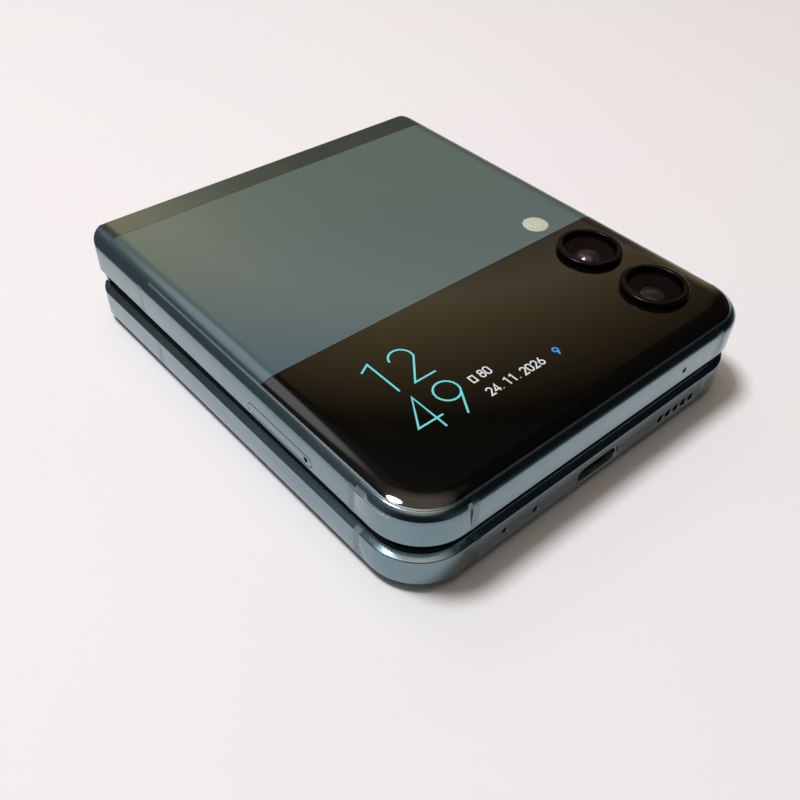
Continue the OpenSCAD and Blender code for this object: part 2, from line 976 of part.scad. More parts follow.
module main_circuit_board() {
    color("#1f5a3c")
        in_upper()
            difference() {
                intersection() {
                    plate(board_in, upper_board_end, upper_board_h, board_t);
                    block([-side_x, upper_board_x], [-free_y, 0], [0, half_t]);
                }
                for (p = upper_posts)
                    post(p, 0, half_t, post_r + fit);
                post([0, inner_camera_y], 0, half_t, inner_camera_seat_r + 0.1);
            }
}
module board_shields() {
    z = upper_board_h + board_t;
    color("#b9bcbf")
        in_upper()
            for (x = shield_places)
                difference() {
                    block(x, shield_y, [z, z + shield_h]);
                    block([x[0] + shield_t, x[1] - shield_t],
                        [shield_y[0] + shield_t, shield_y[1] - shield_t],
                        [z - 1, z + shield_h - shield_t]);
                }
}
module cover_screen() {
    color("#08090a")
        in_upper()
            block([screen_x - screen_w / 2, screen_x + screen_w / 2],
                [screen_y - screen_d / 2, screen_y + screen_d / 2],
                [upper_cover_h + cover_t, upper_cover_h + cover_t + screen_t]);
}
module upper_inner_cover() {
    color("#1b1d1f")
        in_upper()
            difference() {
                plate(upper_cover_in, upper_cover_end, upper_cover_h, cover_t);
                for (p = upper_posts)
                    post(p, 0, half_t, screw_hole_r);
                for (y = [lens_wide_y, lens_ultra_y])
                    post([lens_x, -y], 0, half_t, lens_tube_r + 0.2);
            }
}
module upper_cover_screws() {
    color("silver")
        in_upper()
            for (p = upper_posts)
                cover_screw(p, upper_cover_h + cover_t);
}
module camera(y) {
    base_top = mid_bottom + camera_base_t;
    block([lens_x - camera_side / 2, lens_x + camera_side / 2],
        [-y - camera_side / 2, camera_side / 2 - y], [mid_bottom, base_top]);
    post([lens_x, -y], base_top - 0.1, half_t, camera_barrel_r);
}
module wide_camera() {
    color("#1d1f21")
        in_upper()
            camera(lens_wide_y);
}
module ultra_wide_camera() {
    color("#1d1f21")
        in_upper()
            camera(lens_ultra_y);
}
// A ring that sits on the glass, with a tube down through it and a seat for the clear lens
module lens_ring(y) {
    top = half_t + lens_ring_h;
    bevel = 0.35;
    translate([lens_x, -y, 0])
        rotate_extrude()
            polygon([
                [lens_r - 0.15, half_t - lens_seat_h],
                [lens_tube_r, half_t - lens_seat_h],
                [lens_tube_r, half_t],
                [lens_ring_r, half_t],
                [lens_ring_r, top - bevel],
                [lens_ring_r - bevel, top],
                [lens_r + bevel, top],
                [lens_r + fit, top - 2 * bevel],
                [lens_r + fit, half_t + 0.02],
                [lens_r - 0.15, half_t + 0.02]
            ]);
}
module wide_lens_ring() {
    color("#15181b")
        in_upper()
            lens_ring(lens_wide_y);
}
module ultra_wide_lens_ring() {
    color("#15181b")
        in_upper()
            lens_ring(lens_ultra_y);
}
module lens_glass(y) {
    post([lens_x, -y], half_t + 0.02, half_t + 0.02 + lens_glass_t, lens_r);
}
module wide_lens_glass() {
    color("#101014")
        in_upper()
            lens_glass(lens_wide_y);
}
module ultra_wide_lens_glass() {
    color("#101014")
        in_upper()
            lens_glass(lens_ultra_y);
}
module lamp() {
    color("#e8e2c8")
        in_upper() {
            post([lamp_x, -lamp_y], glass_seat - 0.1, half_t + 0.04, lamp_r);
            block([lamp_x - lamp_side / 2, lamp_x + lamp_side / 2],
                [-lamp_y - lamp_side / 2, lamp_side / 2 - lamp_y],
                [glass_seat - lamp_base_t, glass_seat]);
        }
}
module inner_camera() {
    color("#121315")
        in_upper() {
            post([0, inner_camera_y], display_bottom + 0.02, upper_cover_h - 0.6, inner_camera_r);
            post([0, inner_camera_y], mid_bottom, mid_bottom + 1.1, inner_camera_seat_r);
        }
}
module earpiece() {
    color("#2a2c2e")
        in_upper()
            block([3.8, 13.8], [wall_t + 0.1 - free_y, wall_t + 3.5 - free_y],
                [mid_bottom, mid_bottom + 1.3]);
}
module card_reader() {
    x_a = wall_t + 0.1 - side_x;
    y_mid = tray_shift - tray_y;
    half_len = tray_body_len / 2 + fit;
    z_a = tray_mid - tray_body_t / 2 - fit;
    z_b = tray_mid + tray_body_t / 2 + fit;
    color("#b4b8bb")
        in_upper()
            difference() {
                block([x_a, x_a + reader_depth],
                    [y_mid - half_len - reader_t, y_mid + half_len + reader_t],
                    [mid_bottom, z_b + reader_t]);
                block([x_a - 1, x_a + reader_depth - reader_t],
                    [y_mid - half_len, y_mid + half_len], [z_a, z_b]);
            }
}
module card_tray() {
    y_mid = tray_shift - tray_y;
    pin_y = -tray_y - tray_len / 2 + tray_h / 2 + 0.5;
    z_a = tray_mid - tray_body_t / 2;
    x_card = tray_face_t + 1 - side_x;
    color("#4f686c")
        in_upper()
            difference() {
                union() {
                    pill_x(-tray_y, tray_mid, tray_len, tray_h, -side_x, tray_face_t - side_x);
                    block([tray_face_t - side_x - 0.1, tray_depth - side_x],
                        [y_mid - tray_body_len / 2, y_mid + tray_body_len / 2],
                        [z_a, z_a + tray_body_t]);
                }
                pill_x(pin_y, tray_mid, 2 * pin_hole_r + 0.02, 2 * pin_hole_r,
                    -side_x - 1, tray_face_t - side_x + 1);
                block([x_card, x_card + card_w + 2 * fit],
                    [y_mid - card_len / 2 - fit, y_mid + card_len / 2 + fit],
                    [z_a + tray_body_t - card_t, half_t]);
            }
}
module memory_card() {
    y_mid = tray_shift - tray_y;
    x_a = tray_face_t + 1 + fit - side_x;
    z_b = tray_mid + tray_body_t / 2;
    color("#d8b968")
        in_upper()
            block([x_a, x_a + card_w], [y_mid - card_len / 2, y_mid + card_len / 2],
                [z_b - card_t, z_b]);
}
module key_bracket() {
    x = side_x - wall_t - key_flange_t - key_travel - switch_t - bracket_t - 0.1;
    color("#a0a4a7")
        in_upper()
            block([x, x + bracket_t],
                [-volume_y - volume_len / 2, power_y + power_len / 2],
                [mid_bottom, upper_cover_h - fit]);
}
module key_switches() {
    x = side_x - wall_t - key_flange_t - key_travel - switch_t - 0.1;
    color("#c7b37a")
        in_upper()
            for (y = [-volume_y - volume_len / 3, -volume_y + volume_len / 3, power_y])
                translate([x, y, key_mid])
                    rotate([0, 90, 0])
                        cylinder(h = switch_t, r = key_h / 2 - 0.2);
}
module key(y, len) {
    x = side_x - wall_t - fit;
    pill_x(y, key_mid, len, key_h, x - 0.1, side_x + key_proud);
    pill_x(y, key_mid, len + 2 * key_flange_w, key_h + 2 * key_flange_w, x - key_flange_t, x);
}
module volume_key() {
    color("#46606a")
        in_upper()
            key(-volume_y, volume_len);
}
module power_key() {
    color("#46606a")
        in_upper()
            key(power_y, power_len);
}
module upper_hinge_sliders() {
    color("#8d9296")
        in_upper()
            sliders(slider_pitch);
}
module upper_hinge_screws() {
    color("silver")
        in_upper()
            slider_screws(slider_pitch);
}

lower_frame();
lower_back_glass();
lower_antenna_bands();
lower_display_rim();
lower_display_panel();
lower_backing_plate();
closing_pads();
lower_battery();
coil_shield_sheet();
charging_coil();
lower_circuit_board();
charging_socket();
loudspeaker();
lower_microphone();
vibration_motor();
lower_inner_cover();
lower_cover_screws();
lower_hinge_sliders();
lower_hinge_screws();
hinge_spine();
hinge_guide_left();
hinge_guide_right();
hinge_guide_screws();
display_fold();
hinge_ribbon_cable();
upper_frame();
tinted_back_glass();
cover_screen_glass();
upper_antenna_bands();
upper_display_rim();
upper_display_panel();
upper_backing_plate();
upper_battery();
main_circuit_board();
board_shields();
cover_screen();
upper_inner_cover();
upper_cover_screws();
wide_camera();
ultra_wide_camera();
wide_lens_ring();
ultra_wide_lens_ring();
wide_lens_glass();
ultra_wide_lens_glass();
lamp();
inner_camera();
earpiece();
card_reader();
card_tray();
memory_card();
key_bracket();
key_switches();
volume_key();
power_key();
upper_hinge_sliders();
upper_hinge_screws();
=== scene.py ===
import json
import math

import bmesh
import bpy
from mathutils import Matrix, Vector


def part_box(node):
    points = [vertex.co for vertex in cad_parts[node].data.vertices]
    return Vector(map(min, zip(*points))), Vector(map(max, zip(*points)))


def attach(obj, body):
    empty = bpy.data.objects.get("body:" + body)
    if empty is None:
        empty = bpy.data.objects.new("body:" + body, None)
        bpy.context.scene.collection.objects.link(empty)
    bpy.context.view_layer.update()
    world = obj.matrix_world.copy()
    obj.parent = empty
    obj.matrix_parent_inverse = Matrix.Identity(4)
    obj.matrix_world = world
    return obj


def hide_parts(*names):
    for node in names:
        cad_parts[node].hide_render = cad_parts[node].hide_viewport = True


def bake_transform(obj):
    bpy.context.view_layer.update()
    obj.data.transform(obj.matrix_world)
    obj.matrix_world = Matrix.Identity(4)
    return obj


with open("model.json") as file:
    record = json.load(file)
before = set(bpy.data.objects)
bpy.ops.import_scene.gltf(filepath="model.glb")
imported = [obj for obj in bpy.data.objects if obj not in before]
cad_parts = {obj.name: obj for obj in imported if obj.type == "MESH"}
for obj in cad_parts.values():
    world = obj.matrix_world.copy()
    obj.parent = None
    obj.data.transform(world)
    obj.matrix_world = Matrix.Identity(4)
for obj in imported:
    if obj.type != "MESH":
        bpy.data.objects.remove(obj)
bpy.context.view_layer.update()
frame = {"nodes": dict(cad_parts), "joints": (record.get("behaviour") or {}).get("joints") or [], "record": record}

mm = 0.001               # the scene is in metres
cadNodes = frame["nodes"]
joints = {joint["name"]: joint for joint in frame["joints"]}
slotOf = {part["node"]: part["material_slot"] for part in frame["record"]["subparts"]}
bodies = frame["record"]["behaviour"]["bodies"]
bodyOf = {node: body for body, nodes in bodies.items() for node in nodes}
print("stage: frame loaded,", len(cadNodes), "nodes")


# Main sizes, read from the frame. Each half is drawn flat, with z from its display side to its back.
lowerAxis = Vector(joints["lower_hinge"]["pos_m"])
upperAxis = Vector(joints["upper_hinge"]["pos_m"])
tilt = math.radians(2 * (joints["lower_hinge"]["range_deg"][1] - 90))  # wedge between the closed halves
halfT = lowerAxis.z                            # thickness of one half
lowerLow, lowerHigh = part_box("lower_frame")
sideX = lowerHigh.x
freeY = lowerLow.y                             # free end
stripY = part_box("lower_back_glass")[1].y       # where the glass ends at the hinge strip
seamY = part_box("cover_screen_glass")[1].y      # seam between black and tinted glass
hingeGap = upperAxis.z - lowerAxis.z

lowerPlace = Matrix.Translation((0, 0, halfT)) @ Matrix.Diagonal((1, 1, -1, 1))
railTurn = Matrix.Rotation(tilt / 2, 4, "X")
railPlace = Matrix.Translation(lowerAxis) @ railTurn
aboveRail = Matrix.Translation((0, 0, hingeGap))
upperPlace = railPlace @ aboveRail @ railTurn @ Matrix.Translation((0, -lowerAxis.y, 0))


def camel(name):
    return "".join(word.capitalize() if i else word for i, word in enumerate(name.split("_")))


# Shader maths as plain expressions: a Wire is the output of a node.
class Wire:
    def __init__(self, sheet, socket):
        self.sheet = sheet
        self.socket = socket

    def math(self, operation, *others):
        node = self.sheet.add("ShaderNodeMath", {"operation": operation}, dict(enumerate((self,) + others)))
        return node.value("Value")

    def __add__(self, other):
        return self.math("ADD", other)

    def __radd__(self, other):
        return self.math("ADD", other)

    def __sub__(self, other):
        return self.math("SUBTRACT", other)

    def __rsub__(self, other):
        return self.math("MULTIPLY", -1).math("ADD", other)

    def __mul__(self, other):
        return self.math("MULTIPLY", other)

    def __rmul__(self, other):
        return self.math("MULTIPLY", other)

    def abs(self):
        return self.math("ABSOLUTE")

    def clip(self):
        return self.math("MINIMUM", 1).math("MAXIMUM", 0)

    def ramp(self, low, high):
        return ((self - low) * (1 / (high - low))).clip()


class Added:
    def __init__(self, sheet, node):
        self.sheet = sheet
        self.node = node

    def value(self, name):
        return Wire(self.sheet, self.node.outputs[name])


class Sheet:
    def __init__(self, name, holder=None, end="ShaderNodeOutputMaterial"):
        self.material = holder or bpy.data.materials.new(name)
        self.material.use_nodes = True
        self.tree = self.material.node_tree
        self.tree.nodes.clear()
        self.end = self.tree.nodes.new(end)

    def add(self, kind, settings=None, values=None):
        node = self.tree.nodes.new(kind)
        for key, setting in (settings or {}).items():
            if key == "stops":
                for place, colour in setting[1:-1]:
                    node.color_ramp.elements.new(place)
                for stop, (place, colour) in zip(node.color_ramp.elements, setting):
                    stop.position = place
                    stop.color = (*colour, 1)
            else:
                setattr(node, key, setting)
        for key, value in (values or {}).items():
            self.give(node.inputs[key], value)
        return Added(self, node)

    def give(self, socket, value):
        if isinstance(value, Wire):
            self.tree.links.new(value.socket, socket)
        elif socket.type == "RGBA" and len(value) == 3:
            socket.default_value = (*value, 1)
        else:
            socket.default_value = value

    def place(self):
        return self.add("ShaderNodeTexCoord").value("Object")

    def axes(self):
        split = self.add("ShaderNodeSeparateXYZ", values={"Vector": self.place()})
        return [split.value(axis) for axis in "XYZ"]

    def noise(self, scale, detail=3, stretch=(1, 1, 1)):
        turned = self.add("ShaderNodeMapping", values={"Vector": self.place(), "Scale": stretch})
        found = self.add("ShaderNodeTexNoise", values={
            "Vector": turned.value("Vector"), "Scale": scale, "Detail": detail})
        return found.value("Fac")

    def facing(self, direction):
        toward = self.add("ShaderNodeTexCoord").value("Generated")
        dot = self.add("ShaderNodeVectorMath", {"operation": "DOT_PRODUCT"}, {0: toward, 1: direction})
        return dot.value("Value")

    def blend(self, share, first, second):
        mixed = self.add("ShaderNodeMix", {"data_type": "RGBA", "blend_type": "MIX"})
        self.give(mixed.node.inputs[0], share)      # factor
        self.give(mixed.node.inputs[6], first)      # colour A
        self.give(mixed.node.inputs[7], second)     # colour B
        return Wire(self, mixed.node.outputs[2])    # colour result

    def bump(self, height, strength, distance):
        return self.add("ShaderNodeBump", values={
            "Height": height, "Strength": strength, "Distance": distance}).value("Normal")

    def finish(self, values):
        shader = self.add("ShaderNodeBsdfPrincipled", values=values)
        self.tree.links.new(shader.node.outputs[0], self.end.inputs["Surface"])
        return self.material


# Anodised metal of the rails and keys, and the polymer bands that are coloured to match it. The strip along the
# glass edge gets a much paler colour, which is a painted highlight.
railLook = {"colour": (0.160, 0.236, 0.272), "worn": (0.20, 0.282, 0.32), "roughness": 0.11, "grain": 2600.0}
bandLook = {"colour": (0.12, 0.18, 0.205), "worn": (0.15, 0.215, 0.245), "roughness": 0.2, "grain": 900.0}
# Pale colour of the glass-edge strip: a painted highlight, not the metal's own colour.
paintedHighlightLipLook = {"colour": (0.52, 0.66, 0.70), "worn": (0.60, 0.74, 0.77), "roughness": 0.2, "grain": 1800.0}
metalSurface = {
    "cloud": 90,
    "cloudRamp": (0.35, 0.7),
    "cloudRough": 0.04,
    "grainRough": 0.06,
    "grainDepth": 0.0000016,
    "coat": 0.25,
    "coatRoughness": 0.1,
    "crownFrom": 2.5 * mm,       # height on the rail's side from which it curves
    "crown": 22.0,               # how fast it curves, as a bump that grows with the square
}


def heightAbove(sheet, place):
    row = place.inverted()[2]
    x, y, z = sheet.axes()
    return x * row[0] + y * row[1] + z * row[2] + row[3]


def railMetal(name, place=None, look=railLook):
    sheet = Sheet(name)
    surface = metalSurface
    cloud = sheet.noise(surface["cloud"])
    grain = sheet.noise(look["grain"], 2)
    relief = grain * surface["grainDepth"]
    if place is not None:
        rise = (heightAbove(sheet, place) - surface["crownFrom"]).math("MAXIMUM", 0)
        relief = relief - rise * rise * surface["crown"]
    return sheet.finish({
        "Base Color": sheet.blend(cloud.ramp(*surface["cloudRamp"]), look["colour"], look["worn"]),
        "Metallic": 1.0,
        "Roughness": look["roughness"] + grain * surface["grainRough"] + cloud * surface["cloudRough"],
        "Coat Weight": surface["coat"],
        "Coat Roughness": surface["coatRoughness"],
        "Normal": sheet.bump(relief, 1.0, 1.0),
    })


tintLook = {
    "hinge": (0.108, 0.155, 0.136),
    "seam": (0.074, 0.128, 0.155),
    # Darker colour over the glass's curved edges, where the edge ramp below puts it: painted shade.
    "edge": (0.020, 0.050, 0.060),
    "cloud": 22,
    "cloudReach": 0.012,
    "slant": 0.35,
    "changeRamp": (-0.012, 0.03),      # from the seam's colour to the hinge's, in metres
    "edgeRamp": (0.0322, 0.0349),      # distance from the middle, in metres
    "roughness": 0.16,
    "fine": 4000,
    "fineRough": 0.03,
    "fineDepth": 0.00001,
}


def tintedGlass():
    sheet = Sheet("tintedGlass")
    x, y = sheet.axes()[:2]
    cloud = sheet.noise(tintLook["cloud"])
    share = (y + x * tintLook["slant"] + cloud * tintLook["cloudReach"]).ramp(*tintLook["changeRamp"])
    fine = sheet.noise(tintLook["fine"], 1)
    tint = sheet.blend(share, tintLook["seam"], tintLook["hinge"])
    return sheet.finish({
        # Painted shade: the colour darkens over the curved edges of the glass.
        "Base Color": sheet.blend(x.abs().ramp(*tintLook["edgeRamp"]), tint, tintLook["edge"]),
        "Roughness": tintLook["roughness"] + fine * tintLook["fineRough"],
        "Coat Weight": 0.35,
        "Coat Roughness": 0.05,
        "Metallic": 0.2,
        "Normal": sheet.bump(fine, 0.02, tintLook["fineDepth"]),
    })


# Glossy faces with faint smears: black cover glass and folding display.
blackLook = {"colour": (0.0012, 0.0011, 0.001), "warm": (0.0024, 0.002, 0.0014), "roughness": 0.04,
             "cloud": 18, "smear": 160, "smearRough": 0.05}
displayLook = {"colour": (0.006, 0.006, 0.008), "other": (0.009, 0.009, 0.012), "roughness": 0.07,
               "smear": 120, "smearRough": 0.06}
smearRamp = (0.5, 0.8)
mottleRamp = (0.3, 0.7)


def blackGlass():
    sheet = Sheet("blackGlass")
    cloud = sheet.noise(blackLook["cloud"])
    smear = sheet.noise(blackLook["smear"], 4, (1, 0.4, 1))
    return sheet.finish({
        "Base Color": sheet.blend(cloud.ramp(*mottleRamp), blackLook["colour"], blackLook["warm"]),
        "Roughness": blackLook["roughness"] + smear.ramp(*smearRamp) * blackLook["smearRough"],
        "IOR": 1.5,
    })


def displayFace():
    sheet = Sheet("displayFace")
    smear = sheet.noise(displayLook["smear"], 4, (0.4, 1, 1))
    return sheet.finish({
        "Base Color": sheet.blend(smear, displayLook["colour"], displayLook["other"]),
        "Roughness": displayLook["roughness"] + smear.ramp(*smearRamp) * displayLook["smearRough"],
        "IOR": 1.5,
    })


# Lens glass, the coated eye under it, the black well round the eye, and the lamp.
clearLook = {
    "Roughness": 0.02,
    "Alpha": 0.12,
    "IOR": 1.2,
}
coatingLook = {
    "Roughness": 0.20,
    "Metallic": 0.6,
    "Coat Weight": 0.4,
    "Coat Roughness": 0.04,
}
wellLook = {
    "Roughness": 0.45,
    "IOR": 1.08,
}


def mottled(name, scale, first, second, look):
    sheet = Sheet(name)
    return sheet.finish({"Base Color": sheet.blend(sheet.noise(scale), first, second), **look})


lampLook = {"light": (0.66, 0.67, 0.57), "dark": (0.50, 0.52, 0.42), "cells": 2600.0, "cellRamp": (0.1, 0.6)}


def lampLens():
    sheet = Sheet("lampLens")
    texture = sheet.add("ShaderNodeTexVoronoi", values={"Vector": sheet.place(), "Scale": lampLook["cells"]})
    cells = texture.value("Distance")
    return sheet.finish({
        "Base Color": sheet.blend(cells.ramp(*lampLook["cellRamp"]), lampLook["light"], lampLook["dark"]),
        "Roughness": 0.22,
        "Coat Weight": 0.8,
        "Normal": sheet.bump(cells, 0.4, 0.0001),
    })


def litMark(name, colour, strength):
    sheet = Sheet(name)
    flicker = sheet.noise(900, 1)
    return sheet.finish({
        "Base Color": (0.0, 0.0, 0.0),
        "Emission Color": sheet.blend(flicker, colour, tuple(c * 0.92 for c in colour)),
        "Emission Strength": strength,
        "Roughness": 0.2,
    })


# Finishes that differ only in colour, gloss and grain, by material slot.
plainLooks = {
    "rim_polymer": {"colours": ((0.012, 0.013, 0.014), (0.016, 0.017, 0.018)), "roughness": 0.42,
                    "grain": 1500},
    "soft_pad": {"colours": ((0.02, 0.02, 0.02), (0.03, 0.03, 0.03)), "roughness": 0.7, "grain": 900},
    "steel_sheet": {"colours": ((0.5, 0.51, 0.52), (0.58, 0.59, 0.6)), "roughness": 0.3, "metallic": 1.0,
                    "grain": 300, "stretch": (1, 14, 14)},
    "hinge_steel": {"colours": ((0.38, 0.39, 0.41), (0.46, 0.47, 0.49)), "roughness": 0.28, "metallic": 1.0,
                    "grain": 700, "bump": 0.15, "stretch": (8, 1, 1)},
    "battery_wrap": {"colours": ((0.03, 0.03, 0.032), (0.045, 0.045, 0.048)), "roughness": 0.5,
                     "grain": 250, "bump": 0.3},
    "ferrite": {"colours": ((0.05, 0.05, 0.055), (0.07, 0.07, 0.07)), "roughness": 0.55, "grain": 400},
    "copper": {"colours": ((0.72, 0.33, 0.16), (0.8, 0.42, 0.22)), "roughness": 0.3, "metallic": 1.0,
               "grain": 1200},
    "circuit_board": {"colours": ((0.01, 0.07, 0.035), (0.02, 0.10, 0.05)), "roughness": 0.35,
                      "grain": 700, "coat": 0.3},
    "socket_metal": {"colours": ((0.32, 0.34, 0.36), (0.4, 0.42, 0.44)), "roughness": 0.3, "metallic": 1.0,
                     "grain": 900},
    "black_plastic": {"colours": ((0.02, 0.02, 0.021), (0.03, 0.03, 0.031)), "roughness": 0.45,
                      "grain": 1200},
    "screw_steel": {"colours": ((0.55, 0.56, 0.57), (0.64, 0.65, 0.66)), "roughness": 0.25, "metallic": 1.0,
                    "grain": 1800},
    "lens_metal": {"colours": ((0.006, 0.006, 0.006), (0.010, 0.010, 0.010)), "roughness": 0.20,
                   "metallic": 0.9, "grain": 1500, "bump": 0.05},
    "gold_contact": {"colours": ((0.75, 0.55, 0.22), (0.8, 0.62, 0.3)), "roughness": 0.25, "metallic": 1.0,
                     "grain": 900},
}
plainDepth = 0.00002


def plainFinish(name, colours, roughness, grain, metallic=0.0, bump=0.1, coat=0.0, stretch=(1, 1, 1)):
    sheet = Sheet(name)
    mottle = sheet.noise(grain, 3, stretch)
    return sheet.finish({
        "Base Color": sheet.blend(mottle.ramp(*mottleRamp), *colours),
        "Roughness": roughness + mottle * 0.08,
        "Metallic": metallic,
        "Coat Weight": coat,
        "Normal": sheet.bump(mottle, bump, plainDepth),
    })


materials = {
    "rail_metal": railMetal("railMetal"),
    "key_metal": railMetal("keyMetal"),
    "band_polymer": railMetal("bandPolymer", look=bandLook),
    "tinted_glass": tintedGlass(),
    "black_glass": blackGlass(),
    "display_face": displayFace(),
    "clear_lens": mottled("clearLens", 300, (0.010, 0.006, 0.008), (0.006, 0.004, 0.008), clearLook),
    "lamp_lens": lampLens(),
}
materials.update({slot: plainFinish(camel(slot), **look) for slot, look in plainLooks.items()})
lensFront = mottled("lensCoating", 500, (0.085, 0.055, 0.055), (0.055, 0.040, 0.050), coatingLook)
wellBlack = mottled("lensWell", 900, (0.005, 0.0022, 0.0016), (0.009, 0.0045, 0.003), wellLook)
# Metal of the glass-edge strips, with a painted highlight in its pale colour.
lipMetal = railMetal("lipMetal", look=paintedHighlightLipLook)
crowned = {
    "upper_frame": railMetal("upperRail", upperPlace),
    "lower_frame": railMetal("lowerRail", lowerPlace),
}
for node, piece in cadNodes.items():
    piece.data.materials.clear()
    piece.data.materials.append(materials[slotOf[node]])
print("stage: materials made")


def smoothShade(mesh, angle):
    mesh.polygons.foreach_set("use_smooth", [True] * len(mesh.polygons))
    mesh.set_sharp_from_angle(angle=math.radians(angle))


def linked(name, data):
    piece = bpy.data.objects.new(name, data)
    bpy.context.scene.collection.objects.link(piece)
    return piece


def addPiece(name, verts, faces, body, material, slotName, place=None, smoothAngle=35):
    mesh = bpy.data.meshes.new(name)
    mesh.from_pydata([tuple(v) for v in verts], [], faces)
    if place is not None:
        mesh.transform(place)
    form = bmesh.new()
    form.from_mesh(mesh)
    bmesh.ops.recalc_face_normals(form, faces=form.faces)
    form.to_mesh(mesh)
    form.free()
    smoothShade(mesh, smoothAngle)
    mesh.materials.append(material)
    piece = linked(name, mesh)
    if body:
        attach(piece, body)
    return piece


# Faces between rings of points; hollow joins the last ring to the first, as in a tube with a bore.
def ringFaces(ringCount, ringLength, hollow=False):
    faces = []
    for ring in range(ringCount if hollow else ringCount - 1):
        for i in range(ringLength):
            j = (i + 1) % ringLength
            a, b = ring * ringLength, (ring + 1) % ringCount * ringLength
            faces.append((a + i, a + j, b + j, b + i))
    if not hollow:
        faces.append(tuple(reversed(range(ringLength))))
        faces.append(tuple(range((ringCount - 1) * ringLength, ringCount * ringLength)))
    return faces


turnedSteps = 96


def turned(name, profile, centre, body, material, slotName, hollow=False):
    verts = []
    for radius, height in profile:
        for i in range(turnedSteps):
            angle = math.tau * i / turnedSteps
            verts.append((centre[0] + radius * math.cos(angle), centre[1] + radius * math.sin(angle), height))
    faces = ringFaces(len(profile), turnedSteps, hollow)
    return addPiece(name, verts, faces, body, material, slotName, upperPlace)


def arc(centre, radius, start, stop, steps):
    points = []
    for i in range(steps + 1):
        angle = math.radians(start + (stop - start) * i / steps)
        points.append((centre[0] + radius * math.cos(angle), centre[1] + radius * math.sin(angle)))
    return points


# Edges of the frames that stay sharp, so the antenna bands lie flush: places in millimetres.
bandPlaces = {
    "upper_frame": {"sides": (-31.1, 21.8, 24.0), "ends": (-26.0, 26.0)},
    "lower_frame": {"sides": (-32.0, 18.5), "ends": (-24.9, 24.9)},
}
edges = {
    "shortest": 0.02 * mm,
    "stripZone": 0.5 * mm,
    "bandHalf": 0.6 * mm,
    "bandZone": 0.12 * mm,
    "lipHeight": 0.2 * mm,       # the narrow lip round the display, which gets a smaller rounding
    "lipWeight": 0.3,
    "merge": 2e-7,
    "flatAngle": 0.6,            # degrees
    "sharpAngle": 28,            # degrees
    "segments": 2,
}
halfPlaces = {"upper_frame": upperPlace.inverted(), "lower_frame": lowerPlace.inverted()}


def nearBand(points, axis, places):
    for place in places:
        if max(abs(abs(p[axis] - place * mm) - edges["bandHalf"]) for p in points) < edges["bandZone"]:
            return True
    return False


def keepsSharp(edge, node):
    if len(edge.link_faces) != 2 or edge.calc_length() < edges["shortest"]:
        return True
    if node not in bandPlaces:
        return False
    points = [vert.co for vert in edge.verts]
    if min(abs(p.y - stripY) for p in points) < edges["stripZone"]:
        return True
    places = bandPlaces[node]
    return nearBand(points, 1, places["sides"]) or nearBand(points, 0, places["ends"])


def onNarrowLip(edge, node):
    toHalf = halfPlaces.get(node)
    return toHalf is not None and max((toHalf @ vert.co).z for vert in edge.verts) < edges["lipHeight"]


def roundedCopy(node, name, width):
    mesh = cadNodes[node].data.copy()
    mesh.name = name
    form = bmesh.new()
    form.from_mesh(mesh)
    bmesh.ops.remove_doubles(form, verts=form.verts, dist=edges["merge"])
    # The lip is left out of the dissolve, or its long thin face closes over the opening.
    lipVerts = {vert for edge in form.edges if onNarrowLip(edge, node) for vert in edge.verts}
    freeVerts = [vert for vert in form.verts if vert not in lipVerts]
    freeEdges = [edge for edge in form.edges if not onNarrowLip(edge, node)]
    flat = math.radians(edges["flatAngle"])
    bmesh.ops.dissolve_limit(form, angle_limit=flat, verts=freeVerts, edges=freeEdges)
    weights = form.edges.layers.float.new("bevel_weight_edge")
    sharp = math.radians(edges["sharpAngle"])
    for edge in form.edges:
        bends = len(edge.link_faces) == 2 and edge.calc_face_angle(0) > sharp
        edge[weights] = 0.0
        if bends and not keepsSharp(edge, node):
            edge[weights] = edges["lipWeight"] if onNarrowLip(edge, node) else 1.0
    form.to_mesh(mesh)
    form.free()
    smoothShade(mesh, edges["sharpAngle"])
    mesh.materials.clear()
    mesh.materials.append(crowned.get(node) or materials[slotOf[node]])
    piece = linked(name, mesh)
    bevel = piece.modifiers.new("edge", "BEVEL")
    bevel.width = width
    bevel.segments = edges["segments"]
    bevel.limit_method = "WEIGHT"
    bevel.use_clamp_overlap = False
    shade = piece.modifiers.new("shade", "WEIGHTED_NORMAL")
    shade.keep_sharp = True
    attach(piece, bodyOf[node])
    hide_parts(node)
    return piece


# Glass panels with an elliptical edge.
glass = {
    "sideHeight": 4.85 * mm,     # where the edge's ellipse would meet the side
    "edgeRun": 4.2 * mm,
    "inset": 1.25 * mm,
    "thickness": 0.78 * mm,
    "seatRoom": 0.02 * mm,
    "edgeSteps": 18,
    "cornerRadius": 8.5 * mm,
    "cornerSteps": 26,
    "straightBevel": 0.03 * mm,
    "bevelRate": 2.5,
    "flatRing": 0.4 * mm,        # keeps the big flat face apart from the curved edge
    "seamRoom": 0.05 * mm,
    "smoothAngle": 40,
}


def glassSection():
    start = math.acos(1 - glass["inset"] / glass["edgeRun"])
    drop = halfT - glass["sideHeight"]
    section = [(glass["inset"] + glass["seatRoom"], 0, halfT - glass["thickness"])]
    for i in range(glass["edgeSteps"] + 1):
        t = start + (math.pi / 2 - start) * i / glass["edgeSteps"]
        inset = glass["edgeRun"] * (1 - math.cos(t))
        height = glass["sideHeight"] + drop * math.sin(t)
        rise = i / glass["edgeSteps"]
        section.append((inset, glass["straightBevel"] * min(1, glass["bevelRate"] * rise) ** 2, height))
    inset, back, height = section[-1]
    section.append((inset + glass["flatRing"], back + glass["flatRing"], height))
    return section


